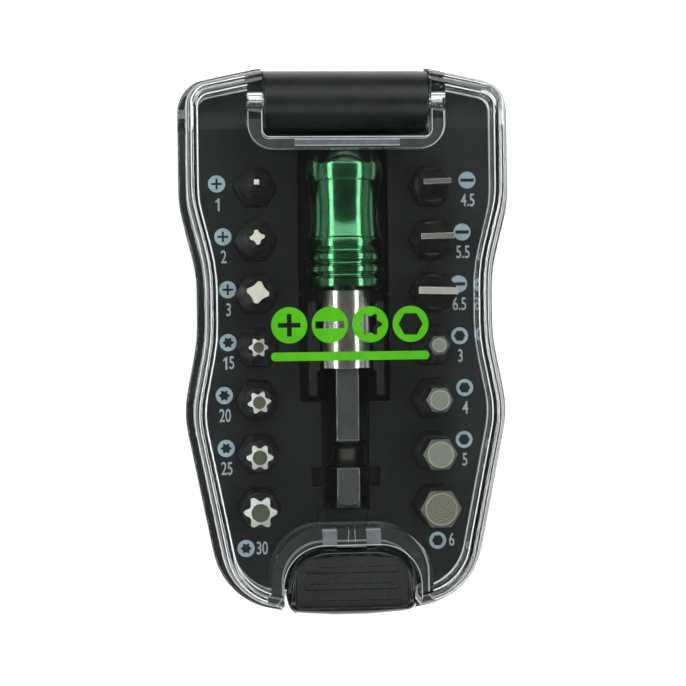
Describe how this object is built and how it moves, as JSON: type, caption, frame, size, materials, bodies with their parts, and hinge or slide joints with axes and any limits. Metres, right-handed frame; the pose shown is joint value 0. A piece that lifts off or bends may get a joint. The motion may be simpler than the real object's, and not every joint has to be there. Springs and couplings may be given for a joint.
{
  "type": "pocket screwdriver bit set",
  "caption": "Pocket case with a clear hinged lid, screwdriver bits standing in a black tray and a quick-release hex bit holder.",
  "frame": {"origin": "middle of the back face's bounding rectangle, case lying on its back", "axes": "+Z out of the tray through the lid, +Y along the case to the hinge end, +X to the right seen from above with the hinge end away"},
  "size_m": [0.0556, 0.0919, 0.0325],
  "materials": {
    "base_plastic": "fine grained black moulding",
    "tray_plastic": "satin black moulding, printed with pale grey marks",
    "lid_clear": "clear polished moulding with a printed green mark",
    "latch_plastic": "satin black moulding with moulded grips",
    "pin_steel": "bright drawn steel",
    "spring_steel": "drawn spring wire",
    "shank_steel": "satin turned steel",
    "sleeve_green": "green anodised, knurled grooves, black nose",
    "ring_steel": "satin steel",
    "magnet_dark": "plated magnet",
    "bit_steel": "dark grey oxide steel with bright tips"
  },
  "bodies": {
    "case": {"base_shell": "base_plastic", "tray_insert": "tray_plastic", "hinge_pin": "pin_steel", "latch_pin": "pin_steel", "latch_spring": "spring_steel", "holder_body": "shank_steel", "holder_stop_ring": "ring_steel", "holder_spring": "spring_steel", "holder_magnet": "magnet_dark", "bit_ph1": "bit_steel", "bit_ph2": "bit_steel", "bit_ph3": "bit_steel", "bit_t15": "bit_steel", "bit_t20": "bit_steel", "bit_t25": "bit_steel", "bit_t30": "bit_steel", "bit_slot45": "bit_steel", "bit_slot55": "bit_steel", "bit_slot65": "bit_steel", "bit_hex3": "bit_steel", "bit_hex4": "bit_steel", "bit_hex5": "bit_steel", "bit_hex6": "bit_steel"},
    "lid": {"lid_cover": "lid_clear"},
    "latch": {"latch_button": "latch_plastic"},
    "spring_washer": {"holder_washer": "ring_steel"},
    "sleeve": {"holder_sleeve": "sleeve_green"},
    "locking_ball": {"holder_ball": "ring_steel"}
  },
  "joints": [
    {"name": "lid_hinge", "type": "hinge", "parent": "case", "child": "lid", "pos_m": [0, 0.0398, 0.0275], "axis": [-1, 0, 0], "range_deg": [0, 150]},
    {"name": "latch_rock", "type": "hinge", "parent": "case", "child": "latch", "pos_m": [0, -0.0434, 0.0072], "axis": [1, 0, 0], "range_deg": [0, 8], "stiffness_Nm_per_rad": 0.3, "springref_deg": -5.73, "deforming": ["latch_spring"]},
    {"name": "sleeve_slide", "type": "slide", "parent": "case", "child": "spring_washer", "axis": [0, 1, 0], "range_m": [0, 0.002], "stiffness_N_per_m": 800, "springref_m": -0.003, "deforming": ["holder_spring"]},
    {"name": "sleeve_spin", "type": "hinge", "parent": "spring_washer", "child": "sleeve", "pos_m": [0, 0.02, 0.0215], "axis": [0, 1, 0], "continuous": true},
    {"name": "ball_slide", "type": "slide", "parent": "case", "child": "locking_ball", "axis": [0, 0, 1], "range_m": [0, 0.00048]}
  ],
  "couplings": [
    {"joint": "ball_slide", "follows": "sleeve_slide", "ratio": 0.24}
  ]
}
